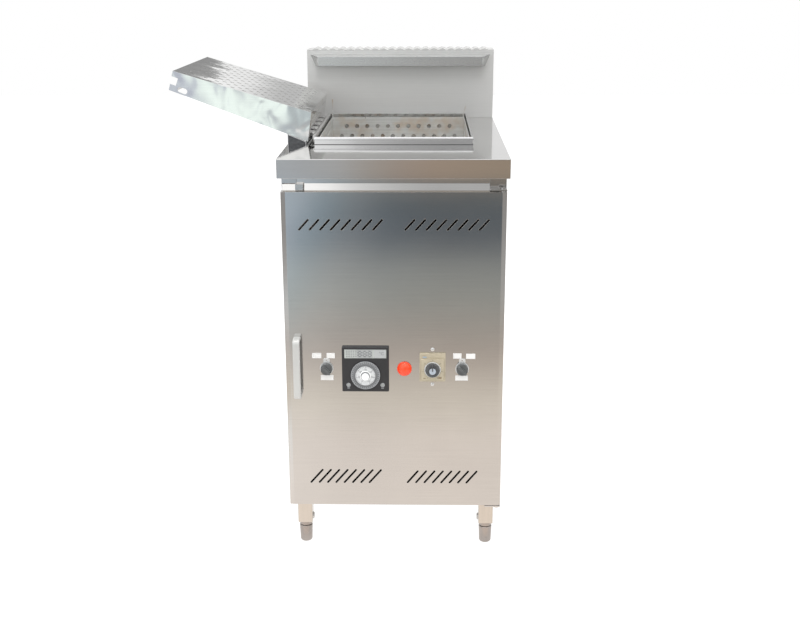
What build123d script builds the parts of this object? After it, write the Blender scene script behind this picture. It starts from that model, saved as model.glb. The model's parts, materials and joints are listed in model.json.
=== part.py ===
from build123d import *
import math
import os

# Gas charbroiler cabinet with a hinged perforated press lid, in millimetres.
# Origin: on the floor under the middle of the cabinet. +Z up, the door faces -Y, +X is the right hand side.

# ---------------------------------------------------------------- driving dimensions
sheet = 1.5                      # stainless sheet of the outer cabinet
thin = 1.2                       # lighter sheet: basket, lid, covers

counter_width = 455.0
counter_depth = 740.0
counter_top = 842.0
apron_height = 38.0
front_y = -counter_depth / 2
back_y = counter_depth / 2

body_half = 223.0                # half the width of the cabinet under the counter
body_bottom = 103.0
body_front = front_y + 40.0
body_back = back_y - 15.0
flange = 30.0                    # front flange of each side panel
rail_top = counter_top - sheet

door_bottom = 103.0
door_top = 775.0
door_face = front_y + 15.5
door_thick = 20.0
door_back = door_face + door_thick
door_edge_fall = 1.5             # the long edges of the door fall back by this much
door_edge_width = 9.0
pivot_x = body_half - 8.0
pivot_y = door_back - 12.0
pivot_pin_r = 4.0
bracket_t = 3.0
bracket_width = 33.0
catch_left = -194.5
catch_right = -179.0

splash_face = 293.5              # front face of the backsplash
splash_top = 1009.0
lip_top = 995.0
lip_bottom = 967.0
lip_depth = 28.0

rib_pitch = 20.6                 # ribs pressed in the flue's cap
rib_count = 21
rib_half = 8.5
rib_height = 3.2

well_left = -172.0               # outside of the well's rolled rim
well_right = 163.0
well_front = -176.5
well_rear = 247.5
rim_top = 858.0
rim_roll = 5.0
rim_inset = 1.75                 # the rim's roll stands proud of its wall by this much
firebox_bottom = 600.0
collar_bottom = 800.0            # the raised collar stands on the firebox at this height
shelf_z = 742.0                  # the basket stands on this shelf inside the well
shelf_width = 15.5
radiant_z = 693.5                # top of the ledges under the radiant plates

basket_gap = 3.75
basket_top = 850.0
ear_width = 3.2                  # lifting ears that stand up from the basket's rear wall
hole_pitch = 25.0
hole_row = 24.0
hole_d = 10.0
wall_drop = 4.0                  # the holes in the basket's walls sit this much below the middle

lid_axis_x = -171.5
lid_axis_z = 856.0
lid_tilt = 20.5                  # slope of the open lid above level
lid_length = 320.0               # from the axis to the free end
lid_near = 9.0                   # where the lid's hinge end starts, from the axis
lid_drop = 13.0                  # how far the lid's open edge lies past the axis
lid_deep = 60.0                  # wall height at the hinge end
lid_shallow = 40.0               # wall height at the free end
lid_lean = 13.4                  # lean of the hinge end wall
lid_end_set_back = 16.0          # the free end's wall stands back this far under the plate
lid_side_gap = 2.8               # between the lid's side walls and the basket's walls
lid_hole_d = 9.0
lid_pin_r = 2.0
knuckle_r = 4.5

leg_size = 31.0
leg_x = 194.5
leg_y = 314.0
leg_bottom = 48.0
socket_bottom = 40.0
foot_d = 28.0
stem_r = 6.0
stem_gap = 0.05

panel_z = 409.0                  # height of the row of controls
controller_x = -59.0
controller_size = 96.0
strip_low = 24.0                 # the display strip's edges above the middle of the controller
strip_high = 43.0
timer_x = 78.3
timer_low = 383.0                # lower and upper edge of the timer's flush frame
timer_high = 443.0
indicator_z = 375.5
indicator_reach = 35.0
lamp_x = 20.7
selector_x = 139.0
dial_z = 397.0
knob_gap = 0.05
label_height = 11.0

burner_pitch = 100.0
burner_z = 650.0
electrode_z = 674.0
probe_y = 40.0
probe_z = 732.0
manifold_y = -245.0
duct_half = 118.0                # opening from the firebox to the flue
duct_low = 752.0
duct_high = 798.0
flue_half = 140.0                # half the width of the upright flue duct
tray_half = 160.0
tray_low = 520.0
tray_top = 556.0
tray_front = -205.0
tray_rear = 235.0
entry_z = 250.0                  # height of the gas pipe and the cable at the back
cable_x = 120.0
gland_bore = 6.5
valve_x = 150.0                  # left side of the gas valve
inlet_x = 188.0                  # the gas pipe
pipe_r = 10.65
thread_r = 10.475                # half inch thread at the pipe's end

os.makedirs("parts", exist_ok=True)


# ---------------------------------------------------------------- helpers
def block(x0, x1, y0, y1, z0, z1):
    """A box between two corners."""
    centre = ((x0 + x1) / 2, (y0 + y1) / 2, (z0 + z1) / 2)
    return Pos(*centre) * Box(abs(x1 - x0), abs(y1 - y0), abs(z1 - z0))


def rod(p0, p1, radius):
    """A round bar from p0 to p1."""
    start = Vector(*p0)
    way = Vector(*p1) - start
    plane = Plane(origin=start, z_dir=way)
    return extrude(plane * Circle(radius), amount=way.length)


def ring(p0, p1, outer, inner):
    """A round tube from p0 to p1."""
    start = Vector(*p0)
    way = Vector(*p1) - start
    plane = Plane(origin=start, z_dir=way)
    return extrude(plane * (Circle(outer) - Circle(inner)), amount=way.length)


def mirror_x(shape):
    return mirror(shape, about=Plane.YZ)


def prism_y(points, y0, y1):
    """Extrude an outline given in X and Z from y0 to y1."""
    outline = Plane(origin=(0, y0, 0), x_dir=(1, 0, 0), z_dir=(0, -1, 0)) * Polygon(*points, align=None)
    return extrude(outline, amount=y1 - y0, dir=(0, 1, 0))


def prism_z(points, z0, z1):
    """Extrude an outline given in X and Y from z0 to z1."""
    return extrude(Pos(0, 0, z0) * Polygon(*points, align=None), amount=z1 - z0, dir=(0, 0, 1))


def prism_x(points, x0, x1):
    """Extrude an outline given in Y and Z from x0 to x1."""
    outline = Plane(origin=(x0, 0, 0), x_dir=(0, 1, 0), z_dir=(1, 0, 0)) * Polygon(*points, align=None)
    return extrude(outline, amount=x1 - x0, dir=(1, 0, 0))


def hole_sketch(width, height, margin):
    """Staggered round holes centred on a width by height sheet, at least margin from its edges."""
    columns = int((width - 2 * margin) // hole_pitch) + 1
    rows = int((height - 2 * margin) // hole_row) + 1
    first_y = -(rows - 1) * hole_row / 2
    places = []
    for j in range(rows):
        count = columns - (j % 2)
        first_x = -(count - 1) * hole_pitch / 2
        places += [(first_x + i * hole_pitch, first_y + j * hole_row) for i in range(count)]
    return Locations(*places).local_locations


def perforated(width, height, margin, drop=0.0):
    """A flat perforated face, centred on the sketch origin, its holes drop below the middle."""
    holes = Sketch() + [place * Circle(hole_d / 2) for place in hole_sketch(width, height, margin)]
    return Rectangle(width, height) - Pos(0, -drop) * holes


def slots(x_first, z_low, z_high, slant, pitch, count, width):
    """Slanted vent slots through the door, low end first."""
    cuts = []
    for i in range(count):
        low = Vector(x_first + i * pitch, 0, z_low)
        high = Vector(x_first + i * pitch + slant, 0, z_high)
        way = high - low
        angle = math.degrees(math.atan2(way.Z, way.X))
        middle = (low + high) * 0.5
        face = Plane(origin=(middle.X, door_face - 5, middle.Z), x_dir=(1, 0, 0), z_dir=(0, -1, 0))
        cuts.append(extrude(face * (Rot(0, 0, angle) * SlotOverall(way.length, width)), amount=-12))
    return cuts


def save(name, shape):
    """Write one node; a list of solids becomes one group."""
    solids = shape if isinstance(shape, list) else [shape]
    flat = []
    for item in solids:
        flat += list(item.solids())
    whole = flat[0] if len(flat) == 1 else Compound(children=flat)
    whole.label = name
    export_step(whole, "parts/" + name + ".step")


# ---------------------------------------------------------------- cabinet shell
def side_panel():
    """The right side panel: a sheet with a front flange and a rear flange turned inwards."""
    x1 = body_half
    wall = block(x1 - sheet, x1, body_front, body_back, body_bottom, rail_top)
    front = block(x1 - flange, x1, body_front, body_front + sheet, body_bottom, rail_top)
    rear = block(x1 - 20, x1, body_back - sheet, body_back, body_bottom, rail_top)
    return wall + front + rear


def rear_panel():
    half = body_half - 20 - 0.5
    top = counter_top - apron_height - 8
    panel = block(-half - 12, half + 12, body_back, body_back + sheet, body_bottom + 2, top)
    for i in range(6):
        z = 190 + i * 22
        panel -= block(-150, -40, body_back - 5, body_back + 5, z, z + 6)
    panel -= rod((inlet_x, body_back - 5, entry_z), (inlet_x, body_back + 8, entry_z), 14)
    return panel - rod((cable_x, body_back - 5, entry_z), (cable_x, body_back + 8, entry_z), 10.25)


def bottom_panel():
    """The floor of the cabinet, with turned up edges and a row of air slots."""
    x = body_half - sheet
    y0 = body_front + sheet
    y1 = body_back - sheet
    z = body_bottom
    pan = block(-x, x, y0, y1, z, z + sheet)
    for i in range(5):
        y = -120 + i * 55
        pan -= block(-110, 110, y, y + 14, z - 2, z + 5)
    return pan


def front_header():
    """The rail across the top of the front, with a sloping drip strip above the door."""
    half = body_half - flange - 0.2
    y = body_front
    shape = block(-half, half, y, y + sheet, door_top - 35, counter_top - sheet)
    left = 1 - body_half
    right = body_half - bracket_width - 0.2
    slope = [(y - 4, door_top - 4), (y - 2.5, door_top - 4), (y, door_top + 8.5), (y, door_top + 13)]
    shape += prism_x(slope, left, right)
    return shape - block(catch_left - 1, catch_right + 1, y - 6, y, door_top - 6, door_top + 13.5)


def countertop():
    half = counter_width / 2
    top = block(-half, half, front_y, back_y, counter_top - sheet, counter_top)
    z = counter_top - apron_height
    front = block(-half, half, front_y, front_y + sheet, z, counter_top)
    left = block(-half, -half + sheet, front_y, back_y, z, counter_top)
    right = block(half - sheet, half, front_y, back_y, z, counter_top)
    rear = block(-half, half, back_y - sheet, back_y, z, counter_top)
    skirt = front + left + right + rear
    hem = block(-half, half, front_y, front_y + 12, z, z + sheet)
    shape = top + skirt + hem
    i = rim_inset
    low, high = counter_top - 5, counter_top + 5
    shape -= block(well_left + i, well_right - i, well_front + i, well_rear - i, low, high)
    shape -= block(-flue_half, flue_half, splash_face + 14, body_back - sheet, low, high)
    long_edges = shape.edges().filter_by(Axis.X).filter_by_position(Axis.Y, front_y - 0.1, front_y + 0.1)
    return fillet(long_edges.filter_by_position(Axis.Z, counter_top - 0.1, counter_top + 0.1), 1.2)


# ---------------------------------------------------------------- backsplash and flue
def backsplash():
    half = counter_width / 2
    return block(-half, half, splash_face, splash_face + sheet, counter_top, splash_top - 6)


def flue_housing():
    """Two sides and the back of the flue box behind the backsplash."""
    half = counter_width / 2
    y0 = splash_face + sheet
    z1 = splash_top - 6
    left = block(-half, -half + sheet, y0, back_y, counter_top, z1)
    right = block(half - sheet, half, y0, back_y, counter_top, z1)
    rear = block(-half, half, back_y - sheet, back_y, counter_top, z1)
    return left + right + rear


def flue_cap():
    """The top of the flue box: a row of pressed ribs, each hollow below and open at its rear end."""
    half = counter_width / 2
    y0, y1 = splash_face, back_y
    deck = splash_top - rib_height
    low = splash_top - 6
    cap = block(-half, half, y0, y1, low, deck)
    cap -= block(sheet - half, half - sheet, y0 + sheet, y1 - sheet, low - 1, deck - 1)
    radius = (rib_half ** 2 + rib_height ** 2) / (2 * rib_height)
    z = splash_top - radius
    places = [(i - (rib_count - 1) / 2) * rib_pitch for i in range(rib_count)]
    above = block(-half, half, y0, y1, deck - 0.5, splash_top)
    through = block(-half, half, y0, y1 + 1, deck - 1.5, splash_top)
    for x in places:
        cap += rod((x, y0, z), (x, y1, z), radius) & above
    for x in places:
        cap -= rod((x, y0 + sheet, z), (x, y1 + 1, z), radius - 1) & through
    return cap


def flue_lip():
    """The hipped deflector lip across the front of the backsplash: a hollow sheet fold."""
    y = splash_face
    half_top = 219.0
    half_low = 207.0

    def hip(half_a, half_b, depth, top, low):
        face = Plane(origin=(0, y, 0), x_dir=(1, 0, 0), z_dir=(0, -1, 0))
        back_low = face * Polygon((-half_a, top), (half_a, top), (half_b, low), (-half_b, low), align=None)
        out = Plane(origin=(0, y - depth, 0), x_dir=(1, 0, 0), z_dir=(0, -1, 0))
        x = half_b - 8
        front_face = out * Polygon((-x, top - 4), (x, top - 4), (x, low + 2), (-x, low + 2), align=None)
        return loft([back_low.face(), front_face.face()])

    outer = hip(half_top, half_low, lip_depth, lip_top, lip_bottom)
    inner = hip(half_top - 3, half_low - 3, lip_depth - 2, lip_top - 2, lip_bottom - 1)
    return outer - inner


# ---------------------------------------------------------------- well, firebox and gas train
def well_wall(i, z0, z1):
    """A rectangular tube around the well, its outside i inside the rim."""
    x0, x1, y0, y1 = well_left + i, well_right - i, well_front + i, well_rear - i
    inside = block(x0 + sheet, x1 - sheet, y0 + sheet, y1 - sheet, z0 - 1, z1 + 1)
    return block(x0, x1, y0, y1, z0, z1) - inside


def well_collar():
    """The upstand around the well with a rolled edge on its front, right and rear."""
    wall = well_wall(rim_inset, collar_bottom, rim_top - 6)
    roll = block(well_left, well_right, well_front, well_rear, rim_top - 6.5, rim_top)
    roll -= block(well_left + rim_roll, well_right - rim_roll, well_front + rim_roll, well_rear - rim_roll,
                  rim_top - 10, rim_top + 2)
    width, depth = well_right - well_left, well_rear - well_front
    top_edges = roll.edges().group_by(Axis.Z)[-1]
    outside = [e for e in top_edges if abs(e.length - width) < 1 or abs(e.length - depth) < 1]
    roll = fillet(outside, rim_roll - 0.4)
    collar = wall + roll
    y0, y1 = well_front + 12, well_rear - 12
    return collar - block(well_left - 5, well_left + rim_roll + 4, y0, y1, basket_top, rim_top + 5)


def firebox():
    """The lower box under the well, with a shelf for the basket, ledges for the radiants and burner holes."""
    i = rim_inset
    x0, x1, y0, y1 = well_left + i, well_right - i, well_front + i, well_rear - i
    shape = well_wall(i, firebox_bottom, collar_bottom)
    shelf = block(x0, x1, y0, y1, shelf_z - sheet, shelf_z)
    shape += shelf - block(x0 + shelf_width, x1 - shelf_width, y0 + shelf_width, y1 - shelf_width,
                           shelf_z - 5, shelf_z + 5)
    for y in (y0, y1 - 18):
        shape += block(x0, x1, y, y + 18, radiant_z - sheet, radiant_z)
    for x in burner_places():
        shape -= rod((x, y0 - 5, burner_z), (x, y0 + 5, burner_z), 15)
    shape -= block(-duct_half, duct_half, y1 - 5, y1 + 5, duct_low, duct_high)
    for x in electrode_places():
        shape -= rod((x, y0 - 5, electrode_z), (x, y0 + 5, electrode_z), 5)
    return shape - rod((x0 - 5, probe_y, probe_z), (x0 + 5, probe_y, probe_z), 3)


def electrode_places():
    return [x + 26 for x in burner_places()[:2]]


def burner_places():
    middle = (well_left + well_right) / 2
    return [middle + (i - 1) * burner_pitch for i in range(3)]


def radiants():
    y0 = well_front + rim_inset + sheet + 4
    y1 = well_rear - rim_inset - sheet - 4
    z = radiant_z
    tents = []
    for x in burner_places():
        outer = [(x - 34, z), (x - 30, z), (x, z + 28), (x + 30, z), (x + 34, z), (x, z + 32)]
        tents.append(prism_y(outer, y0, y1))
    return tents


def burners():
    """Steel tube burners: an open bell at the front, a closed rear end and two rows of ports on top."""
    tubes = []
    y0, y1 = -215.0, well_rear - rim_inset - sheet - 12
    for x in burner_places():
        tube = rod((x, y0, burner_z), (x, y1, burner_z), 14)
        tube -= rod((x, y0 - 1, burner_z), (x, y1 - 3, burner_z), 12.5)
        port = extrude(Plane.XY * Circle(1.5), amount=30)
        ports = []
        count = 16
        for i in range(count):
            y = -150 + i * (360 / (count - 1))
            ports += [Pos(x, y, burner_z) * Rot(0, tip, 0) * port for tip in (-25, 25)]
        tubes.append(tube - ports)
    return tubes


def gas_manifold():
    """A tube across the front of the burners, with a threaded boss for each jet."""
    pipe = rod((-130, manifold_y, burner_z), (valve_x, manifold_y, burner_z), 11)
    for x in burner_places():
        pipe += rod((x, manifold_y, burner_z), (x, manifold_y + 17, burner_z), 7)
    pipe -= rod((-127, manifold_y, burner_z), (valve_x + 1, manifold_y, burner_z), 9)
    for x in burner_places():
        pipe -= rod((x, manifold_y, burner_z), (x, manifold_y + 18, burner_z), 3.5)
    return pipe


def gas_jets():
    jets = []
    for x in burner_places():
        y = manifold_y + 17
        jet = rod((x, y, burner_z), (x, y + 5, burner_z), 7)
        jet += rod((x, y + 5, burner_z), (x, y + 16, burner_z), 4.5)
        jets.append(jet - rod((x, y - 1, burner_z), (x, y + 17, burner_z), 0.6))
    return jets


def gas_valve():
    """A solenoid gas valve: a block between the riser and the manifold, with its coil on top."""
    x0 = valve_x
    body = block(x0, x0 + 54, manifold_y - 22, manifold_y + 22, burner_z - 24, burner_z + 24)
    body = fillet(body.edges().filter_by(Axis.Z), 5)
    coil = block(x0 + 10, x0 + 44, manifold_y - 18, manifold_y + 18, burner_z + 24, burner_z + 66)
    cap = rod((x0 + 27, manifold_y, burner_z + 66), (x0 + 27, manifold_y, burner_z + 74), 9)
    return body + fillet(coil.edges().filter_by(Axis.Z), 4) + cap


def gas_pipe():
    """The gas supply pipe: straight in from the back, then up to the valve."""
    x = inlet_x
    inlet = (x, back_y + 10, entry_z)
    route = FilletPolyline(inlet, (x, manifold_y, entry_z), (x, manifold_y, burner_z - 24), radius=35)
    pipe = sweep(Plane(origin=inlet, z_dir=(0, -1, 0)) * (Circle(pipe_r) - Circle(8.0)), path=route)
    tail_y = back_y - 3.5
    pipe -= ring((x, tail_y - 1.5, entry_z), (x, tail_y, entry_z), pipe_r + 1, 9.6)
    return pipe - ring((x, tail_y, entry_z), (x, back_y + 11, entry_z), pipe_r + 1, thread_r)


def inlet_nut():
    """The lock nut that holds the pipe in the back panel."""
    face = Plane(origin=(inlet_x, body_back + sheet, entry_z), z_dir=(0, 1, 0))
    return extrude(face * (RegularPolygon(18, 6) - Circle(pipe_r + 0.05)), amount=8)


def flue_duct():
    """Carries the burnt gas from the back of the firebox up into the flue box."""
    y0 = splash_face + 14
    y1 = body_back - sheet
    low = duct_low - 7
    top = counter_top - sheet
    outer = block(-flue_half, flue_half, y0, y1, low, top)
    outer -= block(thin - flue_half, flue_half - thin, y0 + thin, y1 - thin, low + thin, top + 1)
    neck_start = well_rear - rim_inset
    neck = block(-duct_half, duct_half, neck_start, y0 + thin, duct_low, duct_high)
    x = duct_half - thin
    return (outer + neck) - block(-x, x, neck_start - 1, y0 + thin + 1, duct_low + thin, duct_high - thin)


def drip_tray():
    """A shallow tray for fat, sliding on two rails under the burners."""
    x = tray_half
    y0, y1, z0, z1 = tray_front, tray_rear, tray_low, tray_top
    tray = block(-x, x, y0, y1, z0, z1) - block(thin - x, x - thin, y0 + thin, y1 - thin, z0 + thin, z1 + 1)
    tray += block(-x - 12, -x, y0, y1, z1 - thin, z1)
    tray += block(x, x + 12, y0, y1, z1 - thin, z1)
    grip = block(-50, 50, y0 - 18, y0 + thin, z1 - 12, z1 - 12 + thin)
    return tray + grip


def tray_rails():
    """Two angle rails from the side panels that carry the tray's edges."""
    z = tray_top - thin
    x1 = body_half - sheet
    right = block(tray_half + 4, x1, tray_front, tray_rear, z - sheet, z)
    right += block(x1 - sheet, x1, tray_front, tray_rear, z - sheet, z + 20)
    return [right, mirror_x(right)]


def electrodes():
    """The spark electrode and the flame sensor, each a rod through a ceramic sleeve."""
    pieces = []
    wall = well_front + rim_inset
    for x in electrode_places():
        sleeve = rod((x, wall - 26, electrode_z), (x, wall + 18, electrode_z), 5)
        tip = rod((x, wall + 18, electrode_z), (x, wall + 44, electrode_z), 1.5)
        pieces.append(sleeve + tip)
    return pieces


def temperature_probe():
    """A probe through the left of the firebox wall, its bulb under the basket."""
    wall = well_left + rim_inset
    bulb = rod((wall - 14, probe_y, probe_z), (wall + 130, probe_y, probe_z), 3)
    face = Plane(origin=(wall - 12, probe_y, probe_z), z_dir=(1, 0, 0))
    return bulb + extrude(face * RegularPolygon(9, 6), amount=12)


def spark_module():
    box = block(-215, -150, -60, 50, 330, 375)
    return fillet(box.edges().filter_by(Axis.X), 3)


def terminal_box():
    box = block(-215, -150, 90, 230, 300, 400)
    return fillet(box.edges().filter_by(Axis.X), 4)


def cable_gland():
    """The strain relief gland for the supply cable, in the back panel."""
    x, z = cable_x, entry_z
    outer = ring((x, body_back - 12, z), (x, body_back + sheet, z), 10.2, gland_bore)
    face = Plane(origin=(x, body_back + sheet, z), z_dir=(0, 1, 0))
    nut = extrude(face * (RegularPolygon(14, 6) - Circle(gland_bore)), amount=7)
    dome = extrude(face.offset(7) * (Circle(11.5) - Circle(gland_bore)), amount=8)
    return outer + nut + dome


# ---------------------------------------------------------------- legs and feet
def leg_places():
    return [(sx * leg_x, sy * leg_y) for sy in (-1, 1) for sx in (-1, 1)]


def legs():
    pieces = []
    for x, y in leg_places():
        half = leg_size / 2
        tube = block(x - half, x + half, y - half, y + half, leg_bottom, body_bottom)
        tube = fillet(tube.edges().filter_by(Axis.Z), 2.5)
        wall = 1.5
        hollow = half - wall
        tube -= block(x - hollow, x + hollow, y - hollow, y + hollow, leg_bottom - 1, body_bottom - 2)
        plate = block(x - 26, x + 26, y - half, y + half, body_bottom - 2, body_bottom)
        inner = 1 if x < 0 else -1
        bolt_hole = rod((x, y, leg_bottom + 10), (x + inner * 30, y, leg_bottom + 10), 3.2)
        pieces.append((tube + plate) - bolt_hole)
    return pieces


def leg_sockets():
    """The plug in each leg that takes the foot's stem: a ring below the tube and a square plug in it."""
    pieces = []
    for x, y in leg_places():
        half = leg_size / 2 - 1.5
        plug = block(x - half, x + half, y - half, y + half, leg_bottom, leg_bottom + 26)
        lower = rod((x, y, socket_bottom), (x, y, leg_bottom), foot_d / 2 - 0.5)
        bore = rod((x, y, socket_bottom - 1), (x, y, leg_bottom + 27), stem_r + stem_gap)
        inner = 1 if x < 0 else -1
        thread = rod((x + inner * 8, y, leg_bottom + 10), (x + inner * 30, y, leg_bottom + 10), 3.0)
        pieces.append((plug + lower) - bore - thread)
    return pieces


def clamp_bolts():
    """Round headed bolts through the inner side of each leg."""
    pieces = []
    for x, y in leg_places():
        inner = 1 if x < 0 else -1
        z = leg_bottom + 10
        face = x + inner * leg_size / 2
        shank = rod((face - inner * 7, y, z), (face, y, z), 3.0)
        head = rod((face, y, z), (face + inner * 3.6, y, z), 7.5)
        outer_edge = head.edges().sort_by(Axis.X)[-1 if inner > 0 else 0]
        pieces.append(shank + fillet(outer_edge, 3.0))
    return pieces


def foot(x, y):
    """An adjustable foot: a round cup with a rounded sole, a short neck and a threaded stem."""
    half = foot_d / 2
    height = socket_bottom - 2
    profile = Polyline((0, 0), (half - 6.5, 0))
    sole = ThreePointArc((half - 6.5, 0), (half - 2.8, 1.4), (half - 1.2, 6))
    side = Polyline((half - 1.2, 6), (half, height - 1), (half - 0.8, height), (9, height), (9, height + 2),
                    (stem_r, height + 2), (stem_r, height + 56), (0, height + 56), (0, 0))
    face = make_face(Plane.XZ * (profile + sole + side))
    return Pos(x, y, 0) * revolve(face, Axis.Z)


# ---------------------------------------------------------------- door
def door_plan(inset):
    """The door's outline seen from above, its front corners falling back a little."""
    h = body_half - inset
    f = door_face + inset
    b = door_back - inset
    e = door_edge_width
    return [(-h, b), (-h, f + door_edge_fall), (-h + e, f), (h - e, f), (h, f + door_edge_fall), (h, b)]


def door_skin():
    """The door's outer pan: front sheet, four returns and a lip all round the back."""
    skin = prism_z(door_plan(0), door_bottom, door_top)
    skin -= prism_z(door_plan(sheet), door_bottom + sheet, door_top - sheet)
    lip = 15.0
    x = body_half - lip
    skin -= block(-x, x, door_back - 5, door_back + 5, door_bottom + lip, door_top - lip)
    skin -= slots(22.0, 698.2, 720.4, 20.2, 21.0, 8, 4.0)
    skin -= slots(26.0, 153.6, 182.0, 23.5, 17.7, 8, 4.0)
    skin -= slots(-178.0, 153.0, 184.0, 27.0, 17.6, 8, 4.0)
    skin -= slots(-189.0, 698.2, 720.4, 20.2, 21.0, 8, 4.0)
    y0, y1 = door_face - 5, door_face + 5
    half = 46.0
    skin -= block(controller_x - half, controller_x + half, y0, y1, panel_z - half, panel_z + half)
    skin -= block(timer_x - 22.5, timer_x + 22.5, y0, y1, panel_z - 22.5, panel_z + 22.5)
    skin -= rod((lamp_x, y0, panel_z), (lamp_x, y1, panel_z), 11)
    for x in (-selector_x, selector_x):
        skin -= rod((x, y0, panel_z), (x, y1, panel_z), 8)
    for z in (door_bottom - 1, door_top - sheet - 1):
        skin -= rod((pivot_x, pivot_y, z), (pivot_x, pivot_y, z + sheet + 2), pivot_pin_r + 0.08)
    return skin


def control_cover():
    """The box on the back of the door that keeps heat and fingers off the controls."""
    x = 165.0
    z0, z1 = 338.0, 478.0
    y0 = door_face + sheet
    y1 = door_back + 92
    cover = block(-x, x, y0, y1, z0, z1)
    cover -= block(-x + thin, x - thin, y0 - 1, y1 - thin, z0 + thin, z1 - thin)
    foot_flange = block(-x - 10, x + 10, y0, y0 + thin, z0, z1)
    foot_flange -= block(-x, x, y0 - 1, y0 + 3, z0 - 1, z1 + 1)
    for i in range(9):
        gap_x = -120 + i * 30
        cover -= block(gap_x - 8, gap_x + 8, y1 - 3, y1 + 1, z0 + 20, z0 + 24)
    return cover + foot_flange


def door_handle():
    """A bow handle bent from flat bar, standing off the door."""
    x = -198.0
    width = 14.5
    z0, z1 = 349.0, 477.0
    reach = 28.0
    bar = 5.0
    plane = Plane(origin=(x - width / 2, 0, 0), x_dir=(0, 1, 0), z_dir=(1, 0, 0))
    out = door_face - reach
    outer = Polygon((door_face, z0), (out, z0), (out, z1), (door_face, z1), align=None)
    outer = fillet(outer.vertices().sort_by(Axis.X)[:2], 9)
    inner = Polygon((door_face + 1, z0 + bar), (out + bar, z0 + bar), (out + bar, z1 - bar),
                    (door_face + 1, z1 - bar), align=None)
    inner = fillet(inner.vertices().sort_by(Axis.X)[:2], 4)
    bow = extrude(plane * (outer - inner), amount=width, dir=(1, 0, 0))
    front_edges = bow.edges().filter_by(Axis.Z).filter_by_position(Axis.Y, out - 0.1, out + 0.1)
    return fillet(front_edges, 2.2)


def hinge_brackets():
    """The plates above and below the door that carry its pivot pins."""
    x0, x1 = body_half - bracket_width, body_half
    top = block(x0, x1, door_face + 1, body_front, door_top + 1.5, door_top + 1.5 + bracket_t)
    top += block(x0, x1, body_front - sheet, body_front, door_top + 1.5, door_top + 24)
    leg_face = -leg_y - leg_size / 2
    low = block(x0, x1 - 12, door_face + 1, leg_face, door_bottom - 1.5 - bracket_t, door_bottom - 1.5)
    low += block(x1 - 12, x1, door_face + 1, door_back, door_bottom - 1.5 - bracket_t, door_bottom - 1.5)
    hole = rod((pivot_x, pivot_y, 0), (pivot_x, pivot_y, counter_top), pivot_pin_r)
    return [top - hole, low - hole]


def pivot_pins():
    """Each pin is pressed in its bracket and turns in the door's own hole."""
    plate_top = door_top + 1.5 + bracket_t
    plate_low = door_bottom - 1.5 - bracket_t
    top = rod((pivot_x, pivot_y, door_top - 12), (pivot_x, pivot_y, plate_top), pivot_pin_r)
    top += rod((pivot_x, pivot_y, plate_top), (pivot_x, pivot_y, plate_top + 3), 7)
    low = rod((pivot_x, pivot_y, plate_low), (pivot_x, pivot_y, door_bottom + 12), pivot_pin_r)
    low += rod((pivot_x, pivot_y, plate_low - 2), (pivot_x, pivot_y, plate_low), 6)
    return [top, low]


def door_strike():
    """A small plate on the back of the door that meets the magnet."""
    return block(catch_left + 1, catch_right - 1, door_back, door_back + 0.3, door_top - 13, door_top - 1)


def magnet_catch():
    """The magnet's housing: it reaches over the door's top edge and down behind it."""
    over = block(catch_left, catch_right, body_front - 14, body_front, door_top + 1.5, door_top + 13)
    behind = block(catch_left, catch_right, door_back + 0.5, body_front, door_top - 13, door_top + 1.5)
    return over + behind


# ---------------------------------------------------------------- controls on the door
def on_face(x, z, depth):
    """A plane facing out of the door at depth in front of it."""
    return Plane(origin=(x, door_face - depth, z), x_dir=(1, 0, 0), z_dir=(0, -1, 0))


def controller_body():
    x = controller_x
    half = controller_size / 2
    bezel = block(x - half, x + half, door_face - 7, door_face, panel_z - half, panel_z + half)
    bezel = fillet(bezel.edges().filter_by(Axis.Y), 2)
    bezel = chamfer(bezel.faces().sort_by(Axis.Y)[0].edges(), 1)
    rear = block(x - 45.5, x + 45.5, door_face, door_face + 88, panel_z - 45.5, panel_z + 45.5)
    pocket = block(x - 43, x + 43, door_face - 8, door_face - 6, panel_z + strip_low, panel_z + strip_high)
    spindle = rod((x, door_face - 8, dial_z), (x, door_face + 10, dial_z), 3 + knob_gap)
    body = (bezel + rear) - pocket - spindle
    for x in indicator_places():
        body -= rod((x, door_face - 8, indicator_z), (x, door_face - 5, indicator_z), 3)
    return body


def indicator_places():
    return [controller_x - indicator_reach, controller_x + indicator_reach]


def controller_display():
    """The printed strip at the top of the controller, with its display window."""
    x = controller_x
    return block(x - 43, x + 43, door_face - 6.6, door_face - 6, panel_z + strip_low, panel_z + strip_high)


def indicator_lamps():
    y0, y1 = door_face - 7.4, door_face - 5
    return [rod((x, y0, indicator_z), (x, y1, indicator_z), 3) for x in indicator_places()]


def controller_dial():
    """The setting dial: a scale disc with a raised centre and a grip across it, on a spindle."""
    y = door_face - 7.4
    face = Plane(origin=(controller_x, y, dial_z), z_dir=(0, -1, 0))
    disc = extrude(face * Circle(30), amount=2.2)
    hub = extrude(face.offset(2.2) * Circle(21), amount=3, taper=8)
    knob = extrude(face.offset(5.2) * Circle(9), amount=6, taper=4)
    spindle = rod((controller_x, door_face + 9, dial_z), (controller_x, y, dial_z), 3)
    return disc + hub + knob + spindle


def pilot_lamp_body():
    x = lamp_x
    bezel = ring((x, door_face, panel_z), (x, door_face - 3, panel_z), 15, 11)
    barrel = ring((x, door_face + 32, panel_z), (x, door_face - 3, panel_z), 11, 9)
    return bezel + barrel


def pilot_lamp_lens():
    """A domed lens over the lamp's bezel."""
    x = lamp_x
    radius = 15.6
    centre_y = door_face - 3 + 5.5
    dome = Pos(x, centre_y, panel_z) * Sphere(radius)
    return dome & block(x - 20, x + 20, door_face - 3 - 14, door_face - 3, panel_z - 20, panel_z + 20)


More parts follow.
